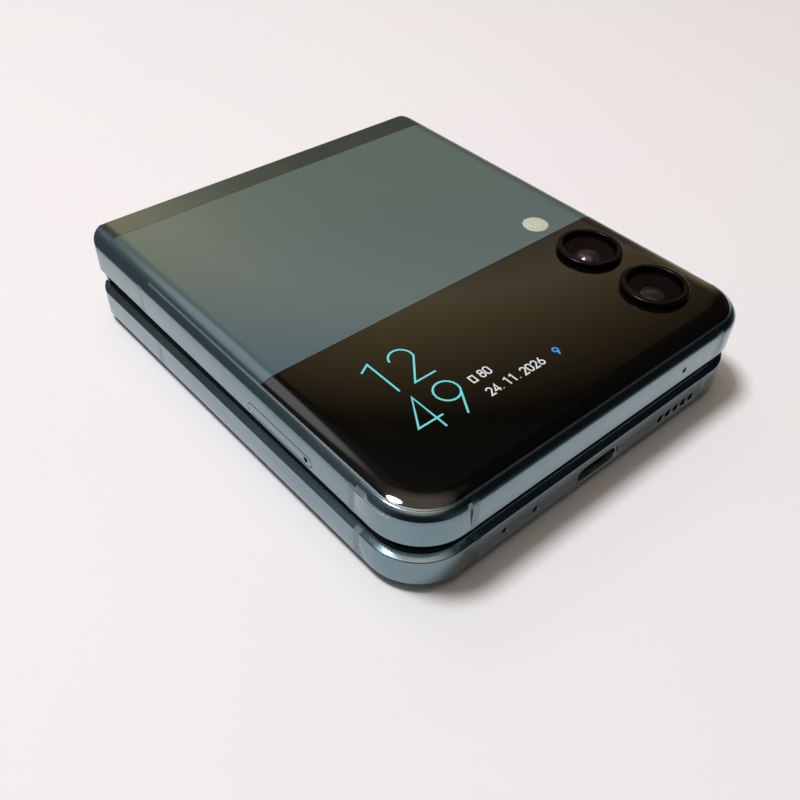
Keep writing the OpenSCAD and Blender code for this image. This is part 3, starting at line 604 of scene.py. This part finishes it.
def freeCorners(inset, steps):
    radius = glass["cornerRadius"] - inset
    middle = sideX - glass["cornerRadius"]
    y = freeY + glass["cornerRadius"]
    return arc((-middle, y), radius, 180, 270, steps), arc((middle, y), radius, 270, 360, steps)


def panelRing(inset, back, height, lowY, highY, roundFree):
    x = sideX - inset
    if roundFree:
        near, far = freeCorners(inset, glass["cornerSteps"])
        ring = near + far
    else:
        ring = [(-x, lowY + back), (x, lowY + back)]
    ring += [(x, highY - back), (-x, highY - back)]
    return [(px, py, height) for px, py in ring]


def glassPanel(name, node, lowY, highY, roundFree, place):
    rings = [panelRing(i, b, h, lowY, highY, roundFree) for i, b, h in glassSection()]
    verts = [point for ring in rings for point in ring]
    faces = ringFaces(len(rings), len(rings[0]))
    slotName = slotOf[node]
    angle = glass["smoothAngle"]
    piece = addPiece(name, verts, faces, bodyOf[node], materials[slotName], slotName, place, angle)
    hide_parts(node)
    return piece


# Lenses and lamp. Heights are from the flat of the glass.
lens = {
    "x": 25.75 * mm,
    "ringRadius": 5.5 * mm,
    "ringHeight": 1.0 * mm,
    "edge": 0.38 * mm,           # rounding of the ring's outer edge
    "edgeSteps": 8,
    "innerEdge": 0.25 * mm,
    "innerStep": 0.55 * mm,
    "innerSteps": 6,
    "glassRadius": 4.15 * mm,
    "paneEdge": 0.08 * mm,
    "paneLow": 0.04 * mm,
    "paneSideLow": 0.1 * mm,
    "paneSideHigh": 0.28 * mm,
    "paneTop": 0.34 * mm,
    "fit": 0.02 * mm,
    "hole": 4.7 * mm,
    "holeDepth": 1.5 * mm,
    "tubeDepth": 1.2 * mm,
    "tubeWall": 0.8 * mm,
    "ledgeWidth": 0.15 * mm,
    "cutterRise": 0.5 * mm,
    "moduleEdge": 0.15 * mm,
    "wellWall": 0.16 * mm,
    "wellFloor": 1.15 * mm,
    "wellTop": 0.05 * mm,
    "wellSteps": 5,
    "firstStep": 0.95,           # depth of the lowest step, millimetres
    "stepRise": 0.18,            # millimetres
    "stepFlat": 0.6,             # share of a step that is flat
    "eyeRings": 13,
}
lensKinds = (
    {"label": "wide", "y": -17.1 * mm, "node": "wide", "eye": 2.3 * mm, "curve": 3.2 * mm},
    {"label": "ultra", "y": -30.4 * mm, "node": "ultra_wide", "eye": 2.0 * mm, "curve": 6.0 * mm},
)
pinRadius = 0.02 * mm            # innermost ring of a turned piece, closed by its cap


def cutHoles(piece, places, radius, depth):
    profile = [(radius, halfT - depth), (radius, halfT + lens["cutterRise"])]
    black = materials["black_glass"]
    cutters = [turned("holeCutter", profile, place, None, black, None) for place in places]
    for cutter in cutters:
        hole = piece.modifiers.new("hole", "BOOLEAN")
        hole.object = cutter
        hole.solver = "EXACT"
    bpy.context.view_layer.update()
    seen = piece.evaluated_get(bpy.context.evaluated_depsgraph_get())
    piece.data = bpy.data.meshes.new_from_object(seen)
    piece.data.name = piece.name
    piece.data.set_sharp_from_angle(angle=math.radians(glass["smoothAngle"]))
    piece.modifiers.clear()
    for cutter in cutters:
        bpy.data.objects.remove(cutter)


coverGlass = glassPanel("coverGlass", "cover_screen_glass", freeY, seamY, True, upperPlace)
cutHoles(coverGlass, [(lens["x"], kind["y"]) for kind in lensKinds], lens["hole"], lens["holeDepth"])
glassPanel("tintPanel", "tinted_back_glass", seamY + glass["seamRoom"], stripY, False, upperPlace)
glassPanel("lowerPanel", "lower_back_glass", freeY, stripY, True, lowerPlace)
print("stage: glass panels made")


# Width of the rounded edges in millimetres.
roundings = {
    "upper_frame": 0.10,
    "lower_frame": 0.10,
    "hinge_spine": 0.12,
    "volume_key": 0.14,
    "power_key": 0.14,
    "card_tray": 0.08,
    "charging_socket": 0.08,
    "lower_display_rim": 0.06,
    "upper_display_rim": 0.06,
    "closing_pads": 0.15,
    "upper_display_panel": 0.03,
    "lower_display_panel": 0.03,
}
for node, width in roundings.items():
    roundedCopy(node, camel(node), width * mm)

# Fine line on the upper rail, and a pale strip along the glass edges, swept round the near corner; the strip's
# light colour is a painted highlight.
groove = {"height": 4.86 * mm, "width": 0.07 * mm, "proud": 0.012 * mm, "sink": 0.02 * mm,
          "ends": (-7.0 * mm, -26.6 * mm)}
lip = {"from": 1.02 * mm, "to": 1.29 * mm, "rise": 0.018 * mm, "sink": 0.10 * mm, "chamfer": 0.02 * mm,
       "end": 20.6 * mm}
stripSteps = 24


def outlinePath(inset, ends):
    near, far = freeCorners(inset, stripSteps)
    path = [(-sideX + inset, ends[0])] + near
    if ends[1] is not None:
        return path + [(ends[1], freeY + inset)]
    return path + far + [(sideX - inset, ends[0])]


def edgeStrip(name, section, ends, body, material, place):
    paths = [outlinePath(inset, ends) for inset, height in section]
    count, sides = len(paths[0]), len(section)
    verts = [(*path[i], height) for i in range(count) for path, (inset, height) in zip(paths, section)]
    addPiece(name, verts, ringFaces(count, sides), body, material, "rail_metal", place, 30)


def grooveSection():
    low, high = groove["height"] - groove["width"] / 2, groove["height"] + groove["width"] / 2
    return [(-groove["proud"], low), (-groove["proud"], high), (groove["sink"], high), (groove["sink"], low)]


def edgeHeight(inset):
    t = math.acos(1 - inset / glass["edgeRun"])
    return glass["sideHeight"] + (halfT - glass["sideHeight"]) * math.sin(t)


def lipSection():
    low, high = lip["from"], lip["to"]
    return [
        (low, edgeHeight(low) - lip["sink"]),
        (low, edgeHeight(low)),
        (low + lip["chamfer"], edgeHeight(low) + lip["rise"]),
        (high - lip["chamfer"], edgeHeight(high) + lip["rise"]),
        (high, edgeHeight(high)),
        (high, edgeHeight(high) - lip["sink"]),
    ]


edgeStrip("upperRailLine", grooveSection(), groove["ends"], "upper_half", materials["rail_metal"], upperPlace)
# The glass lips below carry the pale metal, a painted highlight along the glass edges.
edgeStrip("upperGlassLip", lipSection(), (lip["end"], None), "upper_half", lipMetal, upperPlace)
edgeStrip("lowerGlassLip", lipSection(), (lip["end"], None), "lower_half", lipMetal, lowerPlace)
print("stage: metal pieces rounded")


def lensRingProfile():
    top = halfT + lens["ringHeight"]
    tube = lens["ringRadius"] - lens["tubeWall"]
    bore = lens["glassRadius"] - lens["ledgeWidth"]
    side = lens["glassRadius"] + lens["fit"]
    foot = halfT - lens["tubeDepth"]
    outerCentre = (lens["ringRadius"] - lens["edge"], top - lens["edge"])
    innerCentre = (lens["glassRadius"] + lens["innerStep"], top - lens["innerEdge"])
    profile = [(bore, foot), (tube, foot), (tube, halfT), (lens["ringRadius"], halfT)]
    profile += arc(outerCentre, lens["edge"], 0, 90, lens["edgeSteps"])
    profile += arc(innerCentre, lens["innerEdge"], 90, 180, lens["innerSteps"])
    ledge = halfT + lens["fit"]
    return profile + [(side, halfT + lens["paneTop"]), (side, ledge), (bore, ledge)]


def lensPaneProfile():
    radius = lens["glassRadius"]
    edge = radius - lens["paneEdge"]
    return [
        (pinRadius, halfT + lens["paneLow"]),
        (edge, halfT + lens["paneLow"]),
        (radius, halfT + lens["paneSideLow"]),
        (radius, halfT + lens["paneSideHigh"]),
        (edge, halfT + lens["paneTop"]),
        (pinRadius, halfT + lens["paneTop"]),
    ]


def wellProfile(eye):
    wall = lens["glassRadius"] - lens["wellWall"]
    pitch = (wall - eye) / lens["wellSteps"]
    profile = [(pinRadius, halfT - lens["wellFloor"]), (eye, halfT - lens["wellFloor"])]
    for k in range(lens["wellSteps"]):
        height = halfT - (lens["firstStep"] - k * lens["stepRise"]) * mm
        profile += [(eye + k * pitch, height), (eye + (k + lens["stepFlat"]) * pitch, height)]
    foot = halfT - lens["tubeDepth"]
    return profile + [(wall, halfT - lens["wellTop"]), (wall, foot), (pinRadius, foot)]


def eyeProfile(eye, curve):
    profile = []
    for k in range(lens["eyeRings"]):
        radius = eye * (lens["eyeRings"] - k) / lens["eyeRings"]
        rise = (curve ** 2 - radius ** 2) ** 0.5 - (curve ** 2 - eye ** 2) ** 0.5
        profile.append((max(pinRadius, radius), halfT - lens["wellFloor"] + rise))
    return profile


def upperTurned(name, profile, centre, material, slotName, hollow=False):
    return turned(name, profile, centre, "upper_half", material, slotName, hollow)


for kind in lensKinds:
    centre = (lens["x"], kind["y"])
    label, node = kind["label"], kind["node"]
    metal, clear = materials["lens_metal"], materials["clear_lens"]
    ring = upperTurned(label + "LensRing", lensRingProfile(), centre, metal, "lens_metal", True)
    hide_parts(node + "_lens_ring")
    pane = upperTurned(label + "LensPane", lensPaneProfile(), centre, clear, "clear_lens")
    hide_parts(node + "_lens_glass")
    module = roundedCopy(node + "_camera", label + "Camera", lens["moduleEdge"])
    cutHoles(module, [centre], lens["glassRadius"], lens["tubeDepth"])
    upperTurned(label + "LensWell", wellProfile(kind["eye"]), centre, wellBlack, "black_plastic")
    upperTurned(label + "LensEye", eyeProfile(kind["eye"], kind["curve"]), centre, lensFront, "lens_metal")

lamp = {"place": (24.7 * mm, -6.0 * mm), "radius": 2.25 * mm, "depth": 0.8 * mm, "edge": 0.08 * mm,
        "rise": 0.05 * mm, "flat": 0.5 * mm, "middle": 0.06 * mm}
lampProfile = [
    (pinRadius, halfT - lamp["depth"]),
    (lamp["radius"], halfT - lamp["depth"]),
    (lamp["radius"], halfT),
    (lamp["radius"] - lamp["edge"], halfT + lamp["rise"]),
    (lamp["radius"] - lamp["flat"], halfT + lamp["rise"]),
    (pinRadius, halfT + lamp["middle"]),
]
lampFace = upperTurned("lampFace", lampProfile, lamp["place"], materials["lamp_lens"], "lamp_lens")
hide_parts("lamp")
print("stage: lenses made")


# Lit marks on the cover screen: thin strokes that stand just above the glass.
marks = {"height": 0.012 * mm, "sink": 0.01 * mm, "clockWidth": 0.30 * mm, "smallWidth": 0.23 * mm,
         "boldness": 1.3, "mitre": 0.45, "tiny": 1e-9}


def ribbon(points, width, closed=False):
    count = len(points)
    left, right = [], []
    for i, here in enumerate(points):
        before = points[i - 1] if (i or closed) else here
        after = points[(i + 1) % count] if (i < count - 1 or closed) else here
        first = Vector((here[0] - before[0], here[1] - before[1]))
        second = Vector((after[0] - here[0], after[1] - here[1]))
        first = first.normalized() if first.length > marks["tiny"] else second.normalized()
        second = second.normalized() if second.length > marks["tiny"] else first
        side = Vector((-(first.y + second.y), first.x + second.x)).normalized()
        reach = width / 2 / max(marks["mitre"], side.dot(Vector((-first.y, first.x))))
        left.append((here[0] + side.x * reach, here[1] + side.y * reach))
        right.append((here[0] - side.x * reach, here[1] - side.y * reach))
    return left, right


def litStrokes(name, strokes, width, material):
    verts, faces = [], []
    top, bottom = halfT + marks["height"], halfT - marks["sink"]
    for points, closed in strokes:
        left, right = ribbon(points, width, closed)
        count = len(points)
        base = len(verts)
        for (lx, ly), (rx, ry) in zip(left, right):
            verts += [(lx, ly, top), (rx, ry, top), (rx, ry, bottom), (lx, ly, bottom)]
        for i in range(count if closed else count - 1):
            a, b = base + 4 * i, base + 4 * ((i + 1) % count)
            for k in range(4):
                m = (k + 1) % 4
                faces.append((a + k, a + m, b + m, b + k))
        if not closed:
            last = base + 4 * (count - 1)
            faces += [(base + 3, base + 2, base + 1, base), (last, last + 1, last + 2, last + 3)]
    addPiece(name, verts, faces, "upper_half", material, "display_face", upperPlace)


# Each digit is a list of strokes, points and whether they close, in a box one high.
digitStrokes = {
    "0": [(arc((0.29, 0.72), 0.27, 0, 180, 12) + arc((0.29, 0.28), 0.27, 180, 360, 12), True)],
    "1": [([(0.08, 0.86), (0.34, 1.0), (0.34, 0.0)], False)],
    "2": [(arc((0.29, 0.72), 0.27, 170, -20, 12) + [(0.03, 0.0), (0.58, 0.0)], False)],
    "3": [(arc((0.28, 0.76), 0.24, 150, -80, 10) + arc((0.27, 0.27), 0.27, 80, -150, 12), False)],
    "4": [([(0.46, 0.0), (0.46, 1.0), (0.0, 0.28), (0.62, 0.28)], False)],
    "5": [([(0.52, 1.0), (0.1, 1.0), (0.05, 0.55)] + arc((0.27, 0.31), 0.29, 120, -150, 12), False)],
    "6": [([(0.4, 1.0), (0.06, 0.45)] + arc((0.3, 0.29), 0.28, 160, -180, 16), False)],
    "7": [([(0.02, 1.0), (0.56, 1.0), (0.18, 0.0)], False)],
    "8": [(arc((0.29, 0.76), 0.22, 0, 345, 14), True), (arc((0.29, 0.27), 0.27, 0, 345, 14), True)],
    "9": [(arc((0.3, 0.71), 0.28, 340, -20, 18) + [(0.2, 0.0)], False)],
    ".": [([(0.1, 0.0), (0.1, 0.08)], False)],
}


def writeDigits(text, left, foot, height, pitch):
    strokes = []
    for place, digit in enumerate(text):
        x0 = left + place * pitch
        for points, closed in digitStrokes[digit]:
            strokes.append(([(x0 + px * height, foot + py * height) for px, py in points], closed))
    return strokes


clock = {"height": 7.0 * mm, "topFoot": -23.1 * mm, "lowFoot": -32.05 * mm, "left": -23.6 * mm,
         "pitch": 5.0 * mm, "lowShift": 0.4 * mm, "lowSpread": 0.75 * mm,
         "colour": (0.16, 0.72, 0.74), "strength": 1.0}
note = {"height": 1.5 * mm, "pitch": 1.12 * mm, "colour": (0.80, 0.84, 0.86), "strength": 0.9,
        "charge": (-10.4 * mm, -28.3 * mm), "date": (-12.0 * mm, -31.7 * mm),
        "batteryX": (-12.1 * mm, -11.3 * mm), "batteryY": (-28.3 * mm, -27.0 * mm)}
day = {"place": (1.6 * mm, -31.7 * mm), "colour": (0.05, 0.30, 0.75), "strength": 1.0}


def noteRow(text, place):
    return writeDigits(text, *place, note["height"], note["pitch"])


clockStrokes = writeDigits("12", clock["left"], clock["topFoot"], clock["height"], clock["pitch"])
clockStrokes += writeDigits("49", clock["left"] - clock["lowShift"], clock["lowFoot"], clock["height"],
                            clock["pitch"] + clock["lowSpread"])
clockGlow = litMark("clockGlow", clock["colour"], clock["strength"])
litStrokes("clockDigits", clockStrokes, marks["clockWidth"], clockGlow)

(left, right), (low, high) = note["batteryX"], note["batteryY"]
battery = [(left, low), (right, low), (right, high), (left, high)]
noteStrokes = noteRow("80", note["charge"]) + noteRow("24.11.2026", note["date"]) + [(battery, True)]
noteGlow = litMark("noteGlow", note["colour"], note["strength"])
litStrokes("noteDigits", noteStrokes, marks["smallWidth"], noteGlow)

discGlow = litMark("discGlow", day["colour"], day["strength"])
litStrokes("dayDigit", noteRow("9", day["place"]), marks["smallWidth"] * marks["boldness"], discGlow)
print("stage: lit marks made")


# Display and ribbon cable across the hinge: two strips each, a lower one and an upper one.
fold = {"drop": 0.30 * mm, "thickness": 0.38 * mm, "run": 6.0 * mm, "halfWidth": sideX - 1.65 * mm}
foldRadius = hingeGap / 2 + fold["drop"] + fold["thickness"] / 2
fold["bend"] = hingeGap / 2 - foldRadius * math.pi / 2
cable = {"drop": 1.51 * mm, "thickness": 0.15 * mm, "run": 10.4 * mm, "halfWidth": 4.0 * mm, "bend": 0.9 * mm}
foldSteps = {"flat": 8, "round": 20, "lead": 0.3 * mm}


def foldRows(strip):
    drop, thickness, bend, run = (strip[key] for key in ("drop", "thickness", "bend", "run"))
    radius = hingeGap / 2 + drop + thickness
    rows = []
    for t in range(foldSteps["flat"]):
        y = -run + (run + bend) * t / foldSteps["flat"]
        rows.append(((y, -drop - thickness), (y, -drop)))
    for i in range(foldSteps["round"] + 1):
        angle = math.radians(-90 + 90 * i / foldSteps["round"])
        rows.append(tuple(
            (bend + reach * math.cos(angle), hingeGap / 2 + reach * math.sin(angle))
            for reach in (radius, radius - thickness)))
    return rows


def foldStrip(name, strip, upper, slotName, node):
    rows = foldRows(strip)
    verts, faces = [], []
    for row in rows:
        for y, z in row:
            for x in (-strip["halfWidth"], strip["halfWidth"]):
                verts.append((x, y, (hingeGap - z) if upper else z))
    for i in range(len(rows) - 1):
        a, b = 4 * i, 4 * (i + 1)
        faces += [(a, a + 1, b + 1, b), (a + 2, b + 2, b + 3, a + 3)]
        faces += [(a, b, b + 2, a + 2), (a + 1, a + 3, b + 3, b + 1)]
    last = 4 * (len(rows) - 1)
    faces += [(0, 2, 3, 1), (last, last + 1, last + 3, last + 2)]
    piece = addPiece(name, verts, faces, None, materials[slotName], slotName, railPlace)
    lowZ = -strip["drop"] - strip["thickness"]
    radius = hingeGap / 2 + strip["drop"] + strip["thickness"]
    start = railPlace @ Vector((0, strip["bend"] - foldSteps["lead"], (hingeGap - lowZ) if upper else lowZ))
    end = railPlace @ Vector((0, strip["bend"] + radius, hingeGap / 2))
    if upper:
        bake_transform(piece)
    else:
        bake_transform(piece)
    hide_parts(node)


for upper, side in ((False, "lower"), (True, "upper")):
    foldStrip(side + "DisplayFold", fold, upper, "display_face", "display_fold")
    foldStrip(side + "RibbonCable", cable, upper, "copper", "hinge_ribbon_cable")
print("stage: fold made")


# Floor, light and camera. Directions are azimuth and elevation in degrees, ramps are cosines from them.
studio = {
    "floorHalf": 2,
    "floor": (0.825, 0.785, 0.795),
    "floorBlue": (0.80, 0.79, 0.79),
    "floorRamp": (0.35, 0.65),
    "archDirection": (48.2, 11.1),
    "arch": (
        (0.00, (0.15, 0.155, 0.16)), (0.72, (0.14, 0.14, 0.14)), (0.825, (0.05, 0.04, 0.025)),
        (0.852, (0.44, 0.31, 0.15)), (0.878, (0.78, 0.56, 0.28)), (0.895, (1.00, 0.76, 0.46)),
        (0.912, (0.56, 0.44, 0.30)), (0.93, (0.24, 0.20, 0.14)), (1.0, (0.15, 0.13, 0.10)),
    ),
    "bodyDirection": (226, 22),
    "bodyRamp": (0.55, 0.88),
    "bodyShade": 0.15,
    "endDirection": (336, 44),
    "endRamp": (0.62, 0.90),
    "endShade": 0.10,
    "windowDirection": (84, 50),
    "windowRamp": (0.981, 0.992),
    "window": (1.80, 1.78, 1.76),
    "ceilingRamp": (0.86, 0.97),
    "ceiling": (1.42, 1.19, 1.00),
    "lightDirection": (135, 72.3),
    "lightDistance": 1.0,
    "lightSize": 0.24,
    "lightPower": 7.95,
    "lightColour": (0.98, 1.0, 1.035),
    "lightTarget": (0, 0, 0.01),
}


def floorMaterial():
    sheet = Sheet("floorPaper")
    cloud = sheet.noise(6, 2)
    return sheet.finish({
        "Base Color": sheet.blend(cloud.ramp(*studio["floorRamp"]), studio["floor"], studio["floorBlue"]),
        "Roughness": 0.75,
    })


far = studio["floorHalf"]
floorCorners = [(-far, -far, 0), (far, -far, 0), (far, far, 0), (-far, far, 0)]
addPiece("floorSheet", floorCorners, [(0, 1, 2, 3)], None, floorMaterial(), None)


def aimed(azimuth, elevation, distance=1.0):
    az, el = math.radians(azimuth), math.radians(elevation)
    flat = distance * math.cos(el)
    return (flat * math.cos(az), flat * math.sin(az), distance * math.sin(el))


def windowLight():
    place = Vector(aimed(*studio["lightDirection"], studio["lightDistance"]))
    data = bpy.data.lights.new("windowLight", "AREA")
    data.shape = "ELLIPSE"
    data.size = studio["lightSize"]
    data.size_y = studio["lightSize"]
    data.energy = studio["lightPower"]
    data.color = studio["lightColour"]
    light = linked("windowLight", data)
    light.location = place
    light.rotation_euler = (Vector(studio["lightTarget"]) - place).to_track_quat("-Z", "Y").to_euler()


def roomLight():
    sheet = Sheet("room", bpy.data.worlds.new("room"), "ShaderNodeOutputWorld")

    def toward(name):
        return sheet.facing(aimed(*studio[name + "Direction"])).ramp(*studio[name + "Ramp"])

    arch = sheet.facing(aimed(*studio["archDirection"]))
    colour = sheet.add("ShaderNodeValToRGB", {"stops": studio["arch"]}, {0: arch}).value("Color")
    for name in ("body", "end"):
        colour = sheet.blend(toward(name) * (1 - studio[name + "Shade"]), colour, (0.0, 0.0, 0.0))
    colour = sheet.blend(toward("window"), colour, studio["window"])
    colour = sheet.blend(sheet.facing((0, 0, 1)).ramp(*studio["ceilingRamp"]), colour, studio["ceiling"])
    glow = sheet.add("ShaderNodeBackground", values={"Color": colour})
    sheet.tree.links.new(glow.node.outputs[0], sheet.end.inputs["Surface"])
    return sheet.material


windowLight()
bpy.context.scene.world = roomLight()
bpy.context.scene.view_settings.view_transform = "Standard"

viewpoint = {
    "place": (-80.878 * mm, -88.806 * mm, 96.715 * mm),
    "azimuth": -42.34,
    "elevation": 42.82,
    "roll": 1.84,
    "lens": 39.59,
    "sensor": 36.0,
    "near": 0.005,
}


def addCamera():
    az, el, roll = (math.radians(viewpoint[key]) for key in ("azimuth", "elevation", "roll"))
    back = Vector((math.sin(az) * math.cos(el), -math.cos(az) * math.cos(el), math.sin(el)))
    right = (-back).cross(Vector((0, 0, 1))).normalized()
    up = right.cross(-back)
    across = right * math.cos(roll) + up * math.sin(roll)
    along = -right * math.sin(roll) + up * math.cos(roll)
    data = bpy.data.cameras.new("photoCamera")
    data.lens = viewpoint["lens"]
    data.sensor_width = viewpoint["sensor"]
    data.clip_start = viewpoint["near"]
    camera = linked("photoCamera", data)
    turn = Matrix((across, along, back)).transposed().to_4x4()
    camera.matrix_world = Matrix.Translation(viewpoint["place"]) @ turn
    bpy.context.scene.camera = camera


addCamera()
print("stage: camera and light made")
